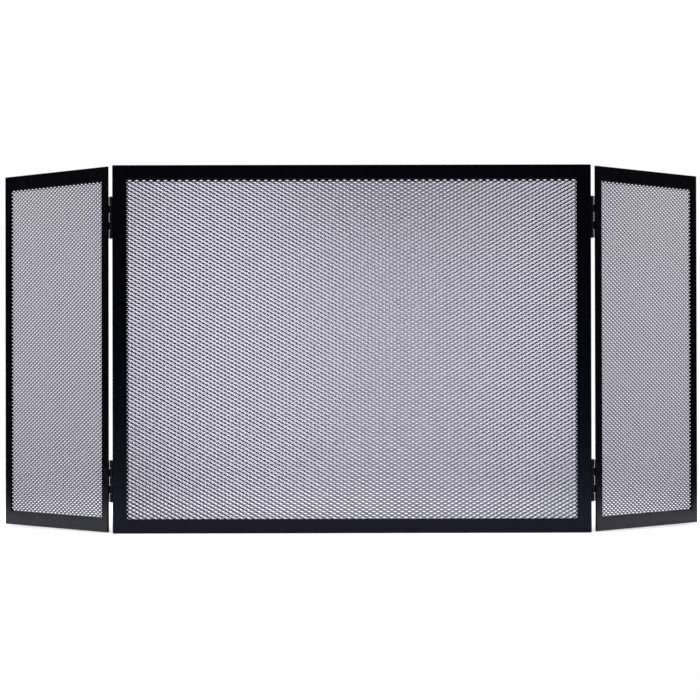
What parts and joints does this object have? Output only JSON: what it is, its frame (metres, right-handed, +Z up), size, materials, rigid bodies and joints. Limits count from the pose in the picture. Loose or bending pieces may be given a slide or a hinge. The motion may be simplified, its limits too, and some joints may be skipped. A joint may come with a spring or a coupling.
{
  "type": "fireplace screen",
  "caption": "Free-standing folding fireplace screen: a wide centre panel with a hinged wing on each side, each a flat steel frame filled with fine diamond mesh.",
  "frame": {"origin": "on the floor under the middle of the centre panel, halfway through the thickness of its bottom rail", "axes": "+X along the centre panel to the right of someone facing its front, +Y from the front to the back where the fire is, +Z up"},
  "size_m": [1.0206, 0.214, 0.514],
  "materials": {
    "bar_paint": "satin black powder coat on mild steel flat bar",
    "mesh_paint": "satin black powder coat on expanded steel mesh",
    "hinge_paint": "satin black coat on rolled steel leaves",
    "pin_steel": "dark oiled steel, peened ends"
  },
  "bodies": {
    "centre": {"centre_top_rail": "bar_paint", "centre_bottom_rail": "bar_paint", "centre_left_stile": "bar_paint", "centre_right_stile": "bar_paint", "centre_mesh": "mesh_paint", "left_upper_hinge_centre_leaf": "hinge_paint", "left_upper_hinge_pin": "pin_steel", "left_lower_hinge_centre_leaf": "hinge_paint", "left_lower_hinge_pin": "pin_steel", "right_upper_hinge_centre_leaf": "hinge_paint", "right_upper_hinge_pin": "pin_steel", "right_lower_hinge_centre_leaf": "hinge_paint", "right_lower_hinge_pin": "pin_steel"},
    "left_wing": {"left_top_rail": "bar_paint", "left_bottom_rail": "bar_paint", "left_inner_stile": "bar_paint", "left_outer_stile": "bar_paint", "left_mesh": "mesh_paint", "left_upper_hinge_wing_leaf": "hinge_paint", "left_lower_hinge_wing_leaf": "hinge_paint"},
    "right_wing": {"right_top_rail": "bar_paint", "right_bottom_rail": "bar_paint", "right_inner_stile": "bar_paint", "right_outer_stile": "bar_paint", "right_mesh": "mesh_paint", "right_upper_hinge_wing_leaf": "hinge_paint", "right_lower_hinge_wing_leaf": "hinge_paint"}
  },
  "joints": [
    {"name": "left_wing_fold", "type": "hinge", "parent": "centre", "child": "left_wing", "pos_m": [-0.3358, 0.0042, 0.257], "axis": [0, 0, -1], "range_deg": [-81, 129]},
    {"name": "right_wing_fold", "type": "hinge", "parent": "centre", "child": "right_wing", "pos_m": [0.3358, 0.0042, 0.257], "axis": [0, 0, 1], "range_deg": [-81, 129]}
  ]
}
